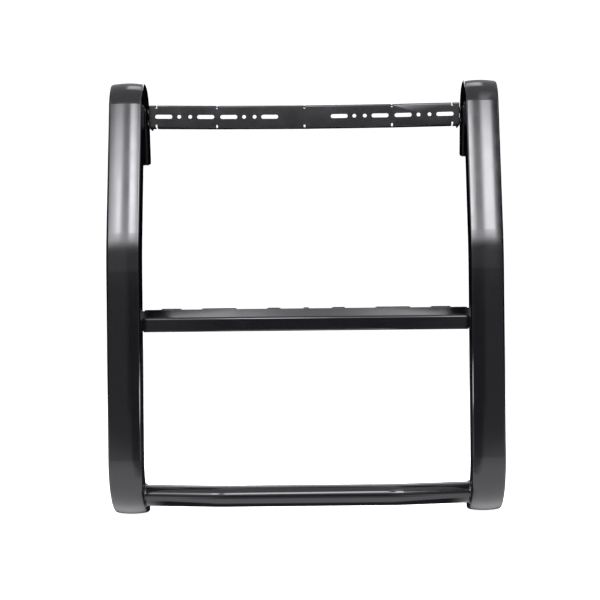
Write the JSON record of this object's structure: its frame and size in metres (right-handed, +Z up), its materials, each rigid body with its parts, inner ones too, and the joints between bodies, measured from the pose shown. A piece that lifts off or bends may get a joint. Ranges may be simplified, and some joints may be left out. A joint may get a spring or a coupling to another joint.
{
  "type": "front grille guard",
  "caption": "Black steel grille guard with hooked rectangular uprights, a slotted light channel on top, a folded step bar and a round lower tube.",
  "frame": {"origin": "middle of the guard's footprint, at the height of the bottom of the feet", "axes": "+X to the viewer's right when the guard is seen from the front, +Y back to the truck, +Z up"},
  "size_m": [0.8934, 0.24, 1.008],
  "materials": {
    "powder_coat": "semi-gloss black powder coat with a fine orange peel",
    "weld_coat": "the same black powder coat over a rippled weld bead",
    "end_cap": "matte black moulded polyethylene",
    "black_hardware": "black oxide steel, slightly oily",
    "zinc_hardware": "bright zinc plate",
    "thread_insert": "yellow zinc plate"
  },
  "bodies": {
    "root": {"left_upright": "powder_coat", "right_upright": "powder_coat", "top_light_channel": "powder_coat", "step_crossbar": "powder_coat", "left_step_end_plate": "powder_coat", "right_step_end_plate": "powder_coat", "left_step_bracket": "powder_coat", "right_step_bracket": "powder_coat", "lower_cross_tube": "powder_coat", "left_frame_bracket": "powder_coat", "right_frame_bracket": "powder_coat", "frame_bracket_gussets": "powder_coat", "lower_tube_welds": "weld_coat", "left_foot_cap": "end_cap", "right_foot_cap": "end_cap", "left_tail_cap": "end_cap", "right_tail_cap": "end_cap", "top_channel_bolts": "black_hardware", "top_channel_washers": "black_hardware", "top_channel_spacers": "black_hardware", "step_bracket_bolts": "zinc_hardware", "step_bracket_lock_washers": "zinc_hardware", "step_end_bolts": "zinc_hardware", "step_end_washers": "zinc_hardware", "step_end_nuts": "zinc_hardware", "frame_bracket_bolts": "zinc_hardware", "frame_bracket_lock_washers": "zinc_hardware", "frame_bracket_washers": "zinc_hardware", "top_channel_inserts": "thread_insert", "step_bracket_inserts": "thread_insert", "frame_bracket_inserts": "thread_insert"}
  },
  "joints": []
}
